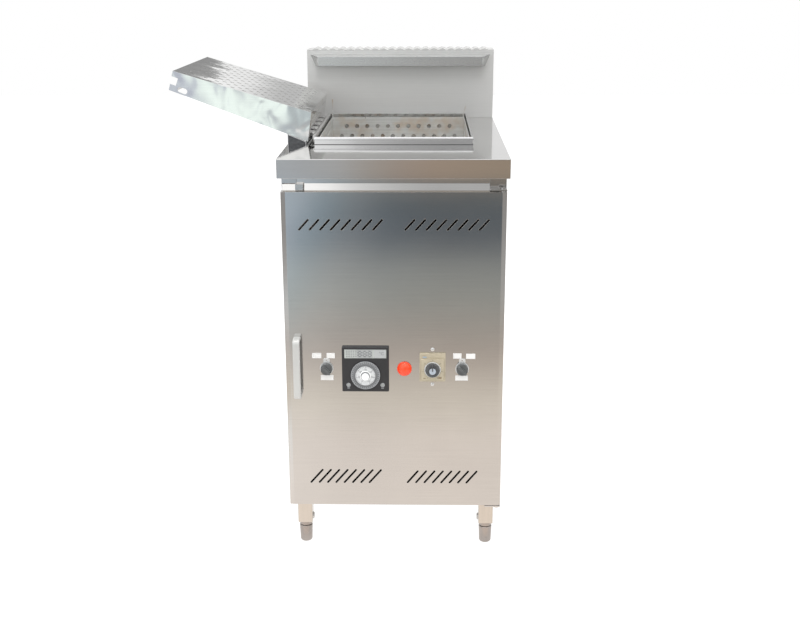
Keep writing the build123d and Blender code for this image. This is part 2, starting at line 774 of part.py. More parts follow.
def timer_body():
    """A small plug-in timer in its flush frame."""
    x = timer_x
    frame = block(x - 26.5, x + 26.5, door_face - 5, door_face, timer_low, timer_high)
    frame = fillet(frame.edges().filter_by(Axis.Y), 1.5)
    face = block(x - 23, x + 23, door_face - 8, door_face - 5, panel_z - 23, panel_z + 23)
    face = fillet(face.edges().filter_by(Axis.Y), 1.5)
    rear = block(x - 22, x + 22, door_face, door_face + 66, panel_z - 22, panel_z + 22)
    spindle = rod((x, door_face - 9, panel_z), (x, door_face + 8, panel_z), 2.5 + knob_gap)
    return (frame + face + rear) - spindle


def timer_knob():
    """A black skirted knob with a raised centre and a pointer rib."""
    x = timer_x
    y = door_face - 8.4
    face = Plane(origin=(x, y, panel_z), z_dir=(0, -1, 0))
    skirt = extrude(face * Circle(14.5), amount=7, taper=5)
    centre = extrude(Plane(origin=(x, y - 7, panel_z), z_dir=(0, -1, 0)) * Circle(7.2), amount=3.5, taper=4)
    rib = block(x - 1, x + 1, y - 11, y - 7, panel_z, panel_z + 13)
    spindle = rod((x, door_face + 7, panel_z), (x, y, panel_z), 2.5)
    return skirt + centre + rib + spindle


def selector_tags():
    """Keyhole shaped metal washers under the selector knobs."""
    pieces = []
    for x in (-selector_x, selector_x):
        plane = on_face(x, panel_z, 0)
        outline = Circle(14) + Pos(0, 15) * RectangleRounded(13, 14, 3)
        holes = Circle(8.1) + Pos(0, 17.5) * Circle(1.5)
        pieces.append(extrude(plane * (outline - holes), amount=1.2))
    return pieces


def switch_bodies():
    """Each selector's switch: a threaded neck through the door and a contact block behind it."""
    pieces = []
    for x in (-selector_x, selector_x):
        neck = rod((x, door_face + 6, panel_z), (x, door_face - 4, panel_z), 8)
        nut = rod((x, door_face - 1.2, panel_z), (x, door_face - 3.6, panel_z), 11)
        contact = block(x - 12, x + 12, door_face + 2, door_face + 46, panel_z - 16, panel_z + 16)
        bore = rod((x, door_face + 12, panel_z), (x, door_face - 5, panel_z), 2.5 + knob_gap)
        pieces.append((neck + nut + contact) - bore)
    return pieces


def selector_knob(x):
    """A round black knob with a bar grip across it, pointing up and to the left."""
    y = door_face - 4.4
    skirt = extrude(Plane(origin=(x, y, panel_z), z_dir=(0, -1, 0)) * Circle(12), amount=6, taper=3)
    plane = Plane(origin=(x, y - 6, panel_z), x_dir=(1, 0, 0), z_dir=(0, -1, 0))
    grip = extrude(plane * (Rot(0, 0, 135) * RectangleRounded(22.5, 6, 2.4)), amount=9, taper=3)
    spindle = rod((x, door_face + 11, panel_z), (x, y, panel_z), 2.5)
    return skirt + grip + spindle


def label_plates():
    """Blank plates beside each selector: one for each position and one under it."""
    left = [(-20.0, 27.5, 19.0), (8.8, 27.5, 17.0), (0.6, -20.0, 26.0)]
    right = [(-10.1, 27.7, 17.0), (17.0, 27.2, 19.0), (-0.8, -19.7, 26.0)]
    pieces = []
    for x, plates in ((-selector_x, left), (selector_x, right)):
        for dx, dz, width in plates:
            x0, z0 = x + dx - width / 2, panel_z + dz - label_height / 2
            pieces.append(block(x0, x0 + width, door_face - 0.8, door_face, z0, z0 + label_height))
    return pieces


# ---------------------------------------------------------------- basket
def basket():
    """The perforated basket that stands in the well, with a narrow lifting ear at each rear corner."""
    i = rim_inset + sheet + basket_gap
    x0, x1, y0, y1 = well_left + i, well_right - i, well_front + i, well_rear - i
    width, depth, height = x1 - x0, y1 - y0, basket_top - shelf_z
    mid_x, mid_y, mid_z = (x0 + x1) / 2, (y0 + y1) / 2, (shelf_z + basket_top) / 2
    floor = extrude(Pos(mid_x, mid_y, shelf_z) * perforated(width, depth, 14), amount=thin)
    wall_face = perforated(width, height, 12, wall_drop)
    side_face = perforated(depth, height, 12, wall_drop)
    shape = floor
    for y in (y0 + thin, y1):
        face = Plane(origin=(mid_x, y, mid_z), x_dir=(1, 0, 0), z_dir=(0, -1, 0))
        shape += extrude(face * wall_face, amount=thin)
    for x in (x0, x1 - thin):
        face = Plane(origin=(x, mid_y, mid_z), x_dir=(0, 1, 0), z_dir=(1, 0, 0))
        shape += extrude(face * side_face, amount=thin)
    for x, way, lean in ((x0, 1, 0), (x1, -1, 9)):
        low, bend, high = basket_top - 6, rim_top + 1, basket_top + 43
        inner = x + way * ear_width
        outer_side = [(x, low), (x, bend), (x - way * lean, high)]
        inner_side = [(inner - way * lean, high), (inner, bend), (inner, low)]
        shape += prism_y(outer_side + inner_side, y1 - thin, y1)
    return shape


# ---------------------------------------------------------------- lid, drawn level and open, then tilted
def open_lid(shape):
    """Tilt a piece drawn around the hinge axis and put it in place."""
    return Pos(lid_axis_x, 0, lid_axis_z) * (Rot(0, lid_tilt, 0) * shape)


def lid_span():
    i = rim_inset + sheet + basket_gap + thin + lid_side_gap
    return well_front + i, well_rear - i


def lid_outline():
    """The lid's side profile around its axis; the free end is at negative X."""
    near_low = (-lid_near, -lid_drop)
    near_top = (-lid_near - lid_lean, lid_deep - lid_drop)
    far_top = (-lid_length, lid_shallow - lid_drop)
    far_low = (4 - lid_length, -lid_drop)
    return near_low, near_top, far_top, far_low


def lid_pan():
    """The press lid: a perforated plate with four walls, notched at its free end."""
    y0, y1 = lid_span()
    near_low, near_top, far_top, far_low = lid_outline()
    fall = (near_top[1] - far_top[1]) / (near_top[0] - far_top[0])
    hollow = [(near_low[0] - thin, -lid_drop - 1), (near_top[0] - thin, near_top[1] - thin),
              (far_top[0] - 1, far_top[1] - thin - fall), (far_top[0] - 1, -lid_drop - 1)]
    pan = prism_y([near_low, near_top, far_top, far_low], y0, y1) - prism_y(hollow, y0 + thin, y1 - thin)
    end_x = lid_end_set_back - lid_length
    end_top = far_top[1] + fall * lid_end_set_back - 0.3
    pan += block(end_x - thin, end_x, y0 + thin, y1 - thin, -lid_drop, end_top)
    pan -= block(-lid_length - 5, end_x - 1, y0 - 1, y1 + 1, 0, far_top[1] - 11)
    side = Plane(origin=(31 - lid_length, y0 - 1, 8.5 - lid_drop), x_dir=(1, 0, 0), z_dir=(0, -1, 0))
    pan -= extrude(side * SlotOverall(21, 11), amount=y0 - y1 - 2)
    length = math.hypot(near_top[0] - far_top[0], near_top[1] - far_top[1])
    middle = Pos((near_top[0] + far_top[0]) / 2, (y0 + y1) / 2, (near_top[1] + far_top[1]) / 2)
    punches = Sketch() + [place * Circle(lid_hole_d / 2) for place in hole_sketch(length, y1 - y0, 13)]
    tilted = middle * (Rot(0, -math.degrees(math.atan(fall)), 0) * (Pos(0, 0, -6) * punches))
    return open_lid(pan - extrude(tilted, amount=12, dir=(0, 0, 1)))


def knuckle_rows(first):
    """Start and end of every other knuckle along the hinge."""
    length = 34.0
    start = (well_front + well_rear) / 2 - 5.5 * length
    rows = []
    for i in range(first, 11, 2):
        rows.append((start + i * length + 0.3, start + (i + 1) * length - 0.3))
    return rows


def end_wall_x(z):
    """Where the lid's leaning hinge end wall is at height z over the axis."""
    return -lid_near - lid_lean / lid_deep * (lid_drop + z)


def lid_hinge_leaf():
    """The lid's half of the hinge: a leaf on the leaning end wall, with an arm to each of its knuckles."""
    low, high = -4.0, 30.0
    leaf = [(end_wall_x(low), low), (end_wall_x(high), high), (end_wall_x(high) + thin, high),
            (end_wall_x(low) + thin, low)]
    shape = prism_y(leaf, knuckle_rows(0)[0][0], knuckle_rows(0)[-1][1])
    half_arm = 1.2
    for y0, y1 in knuckle_rows(1):
        shape += ring((0, y0, 0), (0, y1, 0), knuckle_r, lid_pin_r + 0.05)
        arm = [(0.6 - knuckle_r, half_arm), (0.6 - knuckle_r, -half_arm),
               (end_wall_x(-half_arm) + 0.6, -half_arm), (end_wall_x(half_arm) + 0.6, half_arm)]
        shape += prism_y(arm, y0, y1)
    return open_lid(shape)


def well_hinge_leaf():
    """The well's half of the hinge, on the outside of its left wall."""
    wall = well_left + rim_inset
    rows = knuckle_rows(0)
    shape = block(wall - thin, wall, rows[0][0], rows[-1][1], counter_top + 1, basket_top - 1)
    for y0, y1 in rows:
        ends = (lid_axis_x, y0, lid_axis_z), (lid_axis_x, y1, lid_axis_z)
        shape += ring(*ends, knuckle_r, lid_pin_r + 0.05)
        shape += block(wall - thin, wall, y0, y1, counter_top + 1, lid_axis_z - 2.8)
    return shape


def lid_hinge_pin():
    y0 = knuckle_rows(0)[0][0] - 2
    y1 = knuckle_rows(0)[-1][1] + 2
    return rod((lid_axis_x, y0, lid_axis_z), (lid_axis_x, y1, lid_axis_z), lid_pin_r)


def lid_rest():
    """The folded ramp on the counter that the open lid lies on, open at its front end."""
    y0, y1 = lid_span()
    tilt = math.radians(lid_tilt)
    tan_tilt = math.tan(tilt)
    corner_x = lid_axis_x - lid_near * math.cos(tilt) - lid_drop * math.sin(tilt)
    corner_z = lid_axis_z + lid_near * math.sin(tilt) - lid_drop * math.cos(tilt)
    left = -counter_width / 2
    right = corner_x - 4
    clear = 0.6
    z_left = corner_z + (corner_x - left) * tan_tilt - clear
    z_right = corner_z + (corner_x - right) * tan_tilt - clear
    outer = prism_y([(left, counter_top), (right, counter_top), (right, z_right), (left, z_left)], y0, y1)
    hollow = [(left + sheet, counter_top - 1), (right - sheet, counter_top - 1),
              (right - sheet, z_right - sheet), (left + sheet, z_left - sheet)]
    return outer - prism_y(hollow, y0 - 1, y1 - sheet)


def panel_screws():
    """Button head screws that hold the back panel."""
    pieces = []
    x = body_half - 13
    for side in (-1, 1):
        for z in (150, 360, 570, 770):
            pieces.append(rod((side * x, body_back + sheet, z), (side * x, body_back + sheet + 2.2, z), 4))
    return pieces


# ---------------------------------------------------------------- write every node
right_panel = side_panel()
nodes = {
    "countertop": countertop(),
    "side_panel_left": mirror_x(right_panel),
    "side_panel_right": right_panel,
    "rear_panel": rear_panel(),
    "bottom_panel": bottom_panel(),
    "front_header": front_header(),
    "backsplash": backsplash(),
    "flue_housing": flue_housing(),
    "flue_cap": flue_cap(),
    "flue_lip": flue_lip(),
    "flue_duct": flue_duct(),
    "well_collar": well_collar(),
    "firebox": firebox(),
    "radiant_plates": radiants(),
    "burner_tubes": burners(),
    "gas_manifold": gas_manifold(),
    "gas_jets": gas_jets(),
    "gas_valve": gas_valve(),
    "gas_inlet_pipe": [gas_pipe(), inlet_nut()],
    "ignition_electrodes": electrodes(),
    "temperature_probe": temperature_probe(),
    "spark_module": spark_module(),
    "terminal_box": terminal_box(),
    "cable_gland": cable_gland(),
    "drip_tray": drip_tray(),
    "tray_rails": tray_rails(),
    "panel_screws": panel_screws(),
    "legs": legs(),
    "leg_sockets": leg_sockets(),
    "leg_clamp_bolts": clamp_bolts(),
    "hinge_brackets": hinge_brackets(),
    "door_pivot_pins": pivot_pins(),
    "magnet_catch": magnet_catch(),
    "lid_rest": lid_rest(),
    "well_hinge_leaf": well_hinge_leaf(),
    "lid_hinge_pin": lid_hinge_pin(),
    "lid_pan": lid_pan(),
    "lid_hinge_leaf": lid_hinge_leaf(),
    "cooking_basket": basket(),
    "door_skin": door_skin(),
    "control_cover": control_cover(),
    "door_handle": door_handle(),
    "door_strike": door_strike(),
    "controller_body": controller_body(),
    "controller_display": controller_display(),
    "controller_indicators": indicator_lamps(),
    "controller_dial": controller_dial(),
    "pilot_lamp_body": pilot_lamp_body(),
    "pilot_lamp_lens": pilot_lamp_lens(),
    "timer_body": timer_body(),
    "timer_knob": timer_knob(),
    "selector_tags": selector_tags(),
    "switch_bodies": switch_bodies(),
    "selector_knob_left": selector_knob(-selector_x),
    "selector_knob_right": selector_knob(selector_x),
    "label_plates": label_plates(),
}
for name, shape in nodes.items():
    save(name, shape)

foot_names = ["foot_front_left", "foot_front_right", "foot_rear_left", "foot_rear_right"]
for name, place in zip(foot_names, leg_places()):
    save(name, foot(*place))
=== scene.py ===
import json
import math

import bmesh
import bpy
from mathutils import Matrix, Vector


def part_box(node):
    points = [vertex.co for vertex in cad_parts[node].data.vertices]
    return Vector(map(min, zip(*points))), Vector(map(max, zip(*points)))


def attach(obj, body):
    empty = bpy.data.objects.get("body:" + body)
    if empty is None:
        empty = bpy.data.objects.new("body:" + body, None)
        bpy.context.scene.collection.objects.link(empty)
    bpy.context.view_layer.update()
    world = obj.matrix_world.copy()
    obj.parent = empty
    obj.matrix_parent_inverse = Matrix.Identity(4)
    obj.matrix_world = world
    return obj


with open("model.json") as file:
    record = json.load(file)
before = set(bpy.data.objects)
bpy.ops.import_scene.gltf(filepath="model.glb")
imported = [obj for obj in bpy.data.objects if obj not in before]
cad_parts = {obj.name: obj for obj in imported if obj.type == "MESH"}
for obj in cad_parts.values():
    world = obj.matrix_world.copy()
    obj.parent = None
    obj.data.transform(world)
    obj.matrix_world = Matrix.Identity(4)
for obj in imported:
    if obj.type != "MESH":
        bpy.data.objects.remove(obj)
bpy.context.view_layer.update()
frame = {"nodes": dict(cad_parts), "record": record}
scene = bpy.context.scene
nodes = frame["nodes"]

# -------------------------------- places, from the frame, in metres
MM = 0.001
door_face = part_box("door_skin")[0].y
counter_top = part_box("countertop")[1].z


# -------------------------------- shader helpers
class Nodes:
    """A material's node tree with short ways to add what the finishes share."""

    def __init__(self, name):
        self.material = bpy.data.materials.new(name)
        self.material.use_nodes = True
        self.tree = self.material.node_tree
        self.tree.nodes.clear()
        self.out = self.add("ShaderNodeOutputMaterial")
        self.shader = self.add("ShaderNodeBsdfPrincipled")
        self.link(self.shader.outputs["BSDF"], self.out.inputs["Surface"])
        self.place = self.add("ShaderNodeTexCoord").outputs["Object"]

    def add(self, kind, **settings):
        node = self.tree.nodes.new(kind)
        for key, value in settings.items():
            setattr(node, key, value)
        return node

    def link(self, a, b):
        self.tree.links.new(a, b)

    def set(self, **values):
        for key, value in values.items():
            self.shader.inputs[key.replace("_", " ")].default_value = value

    def stretched(self, scale):
        mapping = self.add("ShaderNodeMapping")
        mapping.inputs["Scale"].default_value = scale
        self.link(self.place, mapping.inputs["Vector"])
        return mapping.outputs["Vector"]

    def noise(self, scale, detail=3.0, roughness=0.5, stretch=(1, 1, 1), distortion=0.0):
        node = self.add("ShaderNodeTexNoise")
        node.inputs["Scale"].default_value = scale
        node.inputs["Detail"].default_value = detail
        node.inputs["Roughness"].default_value = roughness
        node.inputs["Distortion"].default_value = distortion
        self.link(self.stretched(stretch), node.inputs["Vector"])
        return node.outputs["Fac"]

    def ramp(self, factor, *stops):
        node = self.add("ShaderNodeValToRGB")
        ramp = node.color_ramp
        while len(ramp.elements) < len(stops):
            ramp.elements.new(0.5)
        for element, (position, colour) in zip(ramp.elements, stops):
            element.position = position
            element.color = (*colour, 1)
        self.link(factor, node.inputs["Fac"])
        return node.outputs["Color"]

    def range(self, factor, low, high):
        node = self.add("ShaderNodeMapRange")
        node.inputs["To Min"].default_value = low
        node.inputs["To Max"].default_value = high
        self.link(factor, node.inputs["Value"])
        return node.outputs["Result"]

    def mix(self, factor, a, b):
        node = self.add("ShaderNodeMix", data_type="RGBA")
        if isinstance(factor, float):
            node.inputs["Factor"].default_value = factor
        else:
            self.link(factor, node.inputs["Factor"])
        self.link(a, node.inputs[6])
        self.link(b, node.inputs[7])
        return node.outputs[2]

    def bump(self, height, strength, distance, edge=0.0, after=None):
        """A bump over rounded edges of radius edge, or over an earlier bump."""
        node = self.add("ShaderNodeBump")
        node.inputs["Strength"].default_value = strength
        node.inputs["Distance"].default_value = distance
        self.link(height, node.inputs["Height"])
        if after is not None:
            self.link(after, node.inputs["Normal"])
        elif edge:
            bevel = self.add("ShaderNodeBevel", samples=4)
            bevel.inputs["Radius"].default_value = edge
            self.link(bevel.outputs["Normal"], node.inputs["Normal"])
        self.link(node.outputs["Normal"], self.shader.inputs["Normal"])
        return node.outputs["Normal"]


def steel(name, light, dark, rough, grain=(6, 6, 900), grain_depth=0.12, smear=0.06, edge=0.0008,
          waves=(), patch_colour=None, metallic=1.0):
    """Stainless sheet: fine grain lines, faint smears in its gloss, slow waves (scale, depth) and patches of
    a second colour.
    """
    n = Nodes(name)
    lines = n.noise(1.0, 2.0, 0.6, grain)
    cloud = n.noise(7.0, 4.0, 0.6)
    tone = n.mix(0.5, n.ramp(lines, (0.3, dark), (0.7, light)), n.ramp(cloud, (0.3, dark), (0.75, light)))
    if patch_colour:
        patch = n.ramp(n.noise(16.0, 3.0, 0.55), (0.5, (0, 0, 0)), (0.68, (1, 1, 1)))
        tone = n.mix(patch, tone, n.ramp(lines, (0.3, patch_colour), (0.7, patch_colour)))
    n.link(tone, n.shader.inputs["Base Color"])
    n.set(Metallic=metallic)
    n.link(n.range(cloud, rough - smear / 2, rough + smear / 2), n.shader.inputs["Roughness"])
    normal = n.bump(lines, grain_depth, 0.00004, edge)
    for scale, depth in waves:
        normal = n.bump(n.noise(scale, 1.0, 0.4, distortion=0.6), 1.0, depth, after=normal)
    return n.material


def hot_steel(name):
    """Stainless tinted straw, brown and blue by heat."""
    n = Nodes(name)
    patch = n.noise(9.0, 5.0, 0.6)
    tint = n.ramp(patch, (0.25, (0.16, 0.15, 0.17)), (0.45, (0.42, 0.30, 0.19)), (0.6, (0.50, 0.43, 0.34)),
                  (0.8, (0.45, 0.44, 0.43)))
    n.link(tint, n.shader.inputs["Base Color"])
    n.set(Metallic=1.0)
    n.link(n.range(patch, 0.5, 0.32), n.shader.inputs["Roughness"])
    n.bump(n.noise(300.0, 3.0), 0.1, 0.0001, 0.0008)
    return n.material


def plain(name, colour, rough, metallic=0.0, spread=0.06, scale=60.0, bump=0.1, depth=0.0002, edge=0.0006):
    """A moulded, cast or plated surface with its own small variation."""
    n = Nodes(name)
    spots = n.noise(scale, 4.0, 0.6)
    low = tuple(c * (1 - spread) for c in colour)
    high = tuple(min(1.0, c * (1 + spread)) for c in colour)
    n.link(n.ramp(spots, (0.3, low), (0.7, high)), n.shader.inputs["Base Color"])
    n.set(Metallic=metallic)
    n.link(n.range(spots, rough - 0.04, rough + 0.04), n.shader.inputs["Roughness"])
    n.bump(n.noise(scale * 12, 2.0), bump, depth, edge)
    return n.material


def lens(name, colour, glow):
    """A moulded lens with a lamp lit behind it."""
    n = Nodes(name)
    rings = n.noise(90.0, 2.0)
    n.link(n.ramp(rings, (0.3, colour), (0.7, tuple(min(1.0, c * 1.15 + 0.01) for c in colour))),
           n.shader.inputs["Base Color"])
    n.set(Roughness=0.28, Coat_Weight=0.25, Coat_Roughness=0.08)
    n.shader.inputs["Emission Color"].default_value = (*colour, 1)
    n.shader.inputs["Emission Strength"].default_value = glow
    n.bump(rings, 0.1, 0.0002, 0.0004)
    return n.material


# -------------------------------- materials, one for each record slot
finishes = {
    "brushed_panel": steel("brushed_panel", (0.64, 0.63, 0.615), (0.57, 0.56, 0.55), 0.11, smear=0.03),
    "polished_steel": steel("polished_steel", (0.66, 0.65, 0.64), (0.60, 0.595, 0.59), 0.07,
                            grain_depth=0.03, smear=0.03, edge=0.001),
    "perforated_steel": steel("perforated_steel", (0.76, 0.76, 0.75), (0.66, 0.66, 0.65), 0.10,
                              grain_depth=0.05, smear=0.06, edge=0.0006,
                              waves=((7.0, 0.003), (22.0, 0.0008))),
    "hot_steel": hot_steel("hot_steel"),
    "cast_radiant": plain("cast_radiant", (0.10, 0.09, 0.085), 0.8, metallic=0.4, spread=0.3, scale=25.0,
                          bump=0.6, depth=0.001),
    "gas_steel": plain("gas_steel", (0.50, 0.49, 0.46), 0.4, metallic=1.0, spread=0.12, scale=12.0),
    "brass_jet": plain("brass_jet", (0.72, 0.50, 0.22), 0.3, metallic=1.0),
    "valve_alloy": plain("valve_alloy", (0.55, 0.55, 0.55), 0.45, metallic=1.0, spread=0.08, scale=30.0,
                         bump=0.3),
    "white_ceramic": plain("white_ceramic", (0.86, 0.85, 0.80), 0.5),
    "black_plastic": plain("black_plastic", (0.022, 0.022, 0.024), 0.42, spread=0.15, scale=40.0, bump=0.15),
    "grey_box": plain("grey_box", (0.42, 0.43, 0.44), 0.5),
    "printed_face": plain("printed_face", (0.40, 0.42, 0.40), 0.35),
    "dial_disc": plain("dial_disc", (0.17, 0.175, 0.18), 0.35, spread=0.08),
    "timer_frame": plain("timer_frame", (0.43, 0.375, 0.27), 0.42, spread=0.05),
    "red_lens": lens("red_lens", (0.84, 0.045, 0.006), glow=0.14),
    "lamp_bezel": plain("lamp_bezel", (0.70, 0.08, 0.04), 0.3),
    "indicator": plain("indicator", (0.30, 0.31, 0.30), 0.2, spread=0.08),
    "label_plate": plain("label_plate", (0.74, 0.73, 0.71), 0.4, spread=0.03),
    "bright_hardware": plain("bright_hardware", (0.62, 0.61, 0.60), 0.2, metallic=1.0),
    "foot_steel": plain("foot_steel", (0.42, 0.38, 0.355), 0.28, metallic=1.0, spread=0.1, scale=20.0),
}

# nodes that look different from the rest of their slot
splash_steel = steel("splash_steel", (0.64, 0.64, 0.63), (0.58, 0.58, 0.57), 0.40,
                     smear=0.04, edge=0.001, metallic=0.7)
tag_zinc = plain("tag_zinc", (0.74, 0.75, 0.75), 0.35, metallic=0.6, scale=30.0, edge=0.0005)
knob_grey = plain("knob_grey", (0.095, 0.10, 0.10), 0.4, spread=0.2, bump=0.2, edge=0.001)
own_finish = {
    "backsplash": splash_steel,
    "flue_housing": splash_steel,
    "flue_lip": steel("lip_steel", (0.55, 0.555, 0.55), (0.50, 0.505, 0.50), 0.24,
                      smear=0.03, grain_depth=0.03, edge=0.0015, metallic=0.85),
    "flue_cap": steel("cap_steel", (0.56, 0.56, 0.55), (0.49, 0.49, 0.48), 0.45,
                      smear=0.06, edge=0.0006, metallic=0.6),
    # the basket's tone has brown patches in it
    "cooking_basket": steel("basket_steel", (0.76, 0.765, 0.745), (0.42, 0.425, 0.415), 0.3, smear=0.12,
                            edge=0.0005, waves=((9.0, 0.004),), patch_colour=(0.50, 0.42, 0.34), metallic=0.65),
    "well_collar": steel("collar_steel", (0.74, 0.74, 0.74), (0.64, 0.645, 0.65), 0.06,
                         grain_depth=0.03, smear=0.03, edge=0.001, waves=((4.0, 0.0016),)),
    "front_header": steel("header_steel", (0.72, 0.715, 0.705), (0.66, 0.655, 0.645), 0.10,
                          grain=(6, 6, 500), smear=0.02),
    "lid_rest": steel("rest_steel", (0.60, 0.60, 0.61), (0.42, 0.42, 0.43), 0.3,
                      grain=(30, 6, 200), grain_depth=0.4, metallic=0.7),
    "selector_tags": tag_zinc,
    "selector_knob_left": knob_grey,
    "selector_knob_right": knob_grey,
    "timer_knob": plain("timer_black", (0.075, 0.078, 0.082), 0.36, spread=0.2, bump=0.15, edge=0.001),
    "door_handle": plain("handle_finish", (0.54, 0.54, 0.525), 0.34, metallic=0.3, spread=0.03, scale=14.0,
                         bump=0.05, edge=0.0015),
    "legs": steel("leg_steel", (0.68, 0.63, 0.57), (0.60, 0.56, 0.51), 0.2, grain=(900, 900, 6), edge=0.001),
}

# the small printed, glazed and capped pieces
white_disc = plain("white_disc", (0.60, 0.61, 0.61), 0.28, spread=0.05, scale=220.0)
bright_disc = plain("bright_disc", (0.90, 0.91, 0.90), 0.22, spread=0.03)
panel_grey = plain("panel_grey", (0.40, 0.41, 0.41), 0.3)
pale_grey = plain("pale_grey", (0.36, 0.37, 0.38), 0.3)
# black for the printed scales, and for the painted shade line at the collar's foot
ink_and_shade = plain("ink_and_shade", (0.05, 0.05, 0.05), 0.5)
ink_grey = plain("ink_grey", (0.20, 0.20, 0.21), 0.5)
lcd_glass = plain("lcd_glass", (0.36, 0.37, 0.37), 0.22)
lcd_segment = plain("lcd_segment", (0.15, 0.16, 0.16), 0.3)
cap_grey = plain("cap_grey", (0.37, 0.41, 0.46), 0.3)
brown_mark = plain("brown_mark", (0.24, 0.17, 0.10), 0.5)
blue_mark = plain("blue_mark", (0.30, 0.36, 0.42), 0.5)
# near-black streaky steel: painted shade for the dark end of the lid rest
painted_shade_steel = steel("painted_shade_steel", (0.16, 0.165, 0.17), (0.05, 0.05, 0.055), 0.3,
                     grain=(120, 6, 300), grain_depth=0.3, metallic=0.7)

for part in frame["record"]["subparts"]:
    o = nodes[part["node"]]
    o.data.materials.clear()
    o.data.materials.append(own_finish.get(part["node"], finishes[part["material_slot"]]))


# -------------------------------- mesh tools: x and z on a face seen from the front
def piece(name, bm, body, material):
    """Make the mesh an object that rides on a body."""
    bmesh.ops.recalc_face_normals(bm, faces=bm.faces)
    mesh = bpy.data.meshes.new(name)
    bm.to_mesh(mesh)
    bm.free()
    o = bpy.data.objects.new(name, mesh)
    scene.collection.objects.link(o)
    mesh.materials.append(material)
    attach(o, body)
    return o


def prism(bm, outline, y, thick):
    """A flat pad: its back at y, its front nearer to the viewer by thick."""
    back = [bm.verts.new((x, y, z)) for x, z in outline]
    ahead = [bm.verts.new((x, y - thick, z)) for x, z in outline]
    bm.faces.new(ahead)
    bm.faces.new(reversed(back))
    for i in range(len(outline)):
        j = (i + 1) % len(outline)
        bm.faces.new((ahead[i], back[i], back[j], ahead[j]))


def bar(bm, x0, x1, z0, z1, y, thick):
    """A rectangular pad."""
    prism(bm, [(x0, z0), (x1, z0), (x1, z1), (x0, z1)], y, thick)


def rounded(bm, x, z, width, height, radius, y, thick, steps=6):
    """A rectangular pad with round corners, centred on x and z."""
    outline = []
    for i, (sx, sz) in enumerate(((1, 1), (-1, 1), (-1, -1), (1, -1))):
        for k in range(steps + 1):
            a = math.pi / 2 * (i + k / steps)
            outline.append((x + sx * (width / 2 - radius) + radius * math.cos(a),
                            z + sz * (height / 2 - radius) + radius * math.sin(a)))
    prism(bm, outline, y, thick)


def spoke(bm, x, z, angle, r0, r1, width, y, thick):
    """A tick mark along a radius; angle is in degrees clockwise from the top."""
    a = math.radians(angle)
    ux, uz = math.sin(a), math.cos(a)
    wx, wz = uz * width / 2, -ux * width / 2
    prism(bm, [(x + ux * r0 - wx, z + uz * r0 - wz), (x + ux * r0 + wx, z + uz * r0 + wz),
               (x + ux * r1 + wx, z + uz * r1 + wz), (x + ux * r1 - wx, z + uz * r1 - wz)], y, thick)


def turned(bm, x, z, profile, steps=72):
    """A closed profile of (radius, y) points, turned around the axis through x and z."""
    rings = []
    for r, y in profile:
        if r < 1e-6:
            rings.append([bm.verts.new((x, y, z))])
            continue
        angles = [2 * math.pi * k / steps for k in range(steps)]
        rings.append([bm.verts.new((x + r * math.cos(a), y, z + r * math.sin(a))) for a in angles])
    for i in range(len(rings)):
        a, b = rings[i], rings[(i + 1) % len(rings)]
        for k in range(steps):
            m = (k + 1) % steps
            corners = [a[k % len(a)], a[m % len(a)], b[m % len(b)], b[k % len(b)]]
            corners = [v for j, v in enumerate(corners) if v not in corners[:j]]
            if len(corners) > 2:
                bm.faces.new(corners)


def lettering(bm, words, x, z, size, y, thick):
    """Raised generic characters centred on x and z."""
    curve = bpy.data.curves.new("words", "FONT")
    curve.body = words
    curve.size = size
    curve.align_x = "CENTER"
    curve.align_y = "CENTER"
    curve.extrude = thick / 2
    curve.resolution_u = 3
    holder = bpy.data.objects.new("words", curve)
    mesh = bpy.data.meshes.new_from_object(holder)
    mesh.transform(Matrix.Translation((x, y - thick / 2, z)) @ Matrix.Rotation(math.pi / 2, 4, "X"))
    bm.from_mesh(mesh)
    bpy.data.meshes.remove(mesh)
    bpy.data.objects.remove(holder)
    bpy.data.curves.remove(curve)


def around(x, z, r, angle):
    """The point at radius r, angle in degrees clockwise from the top."""
    return x + r * math.sin(math.radians(angle)), z + r * math.cos(math.radians(angle))


def loop_tube(name, corners, radius, body, material):
    """A thin bead along a closed run of straight lines."""
    curve = bpy.data.curves.new(name, "CURVE")
    curve.dimensions = "3D"
    curve.bevel_depth = radius
    curve.bevel_resolution = 3
    line = curve.splines.new("POLY")
    line.points.add(len(corners) - 1)
    for point, at in zip(line.points, corners):
        point.co = (*at, 1)
    line.use_cyclic_u = True
    o = bpy.data.objects.new(name, curve)
    scene.collection.objects.link(o)
    curve.materials.append(material)
    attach(o, body)


# -------------------------------- the temperature controller's dial
PRINT = 0.15 * MM                # thickness of printed marks
DIAL_R, HUB_R, GRIP_R = 30 * MM, 20.6 * MM, 8.6 * MM
DIAL_SWEEP = 300                 # degrees, from 150 left of the top to 150 right of it
dial_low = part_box("controller_dial")[0]
dial_x, dial_z = dial_low.x + DIAL_R, dial_low.z + DIAL_R
disc_y = door_face - 9.6 * MM
hub_y = door_face - 12.6 * MM
face_y = hub_y - 0.3 * MM
grip_y = dial_low.y


def dial_face():
    """The pale printed ring on the hub."""
    bm = bmesh.new()
    inner = GRIP_R + 0.4 * MM
    turned(bm, dial_x, dial_z, [(inner, hub_y), (HUB_R - 0.2 * MM, hub_y), (HUB_R - 0.3 * MM, face_y),
                                (inner, face_y)])
    piece("dial_face", bm, "temperature_dial", white_disc)


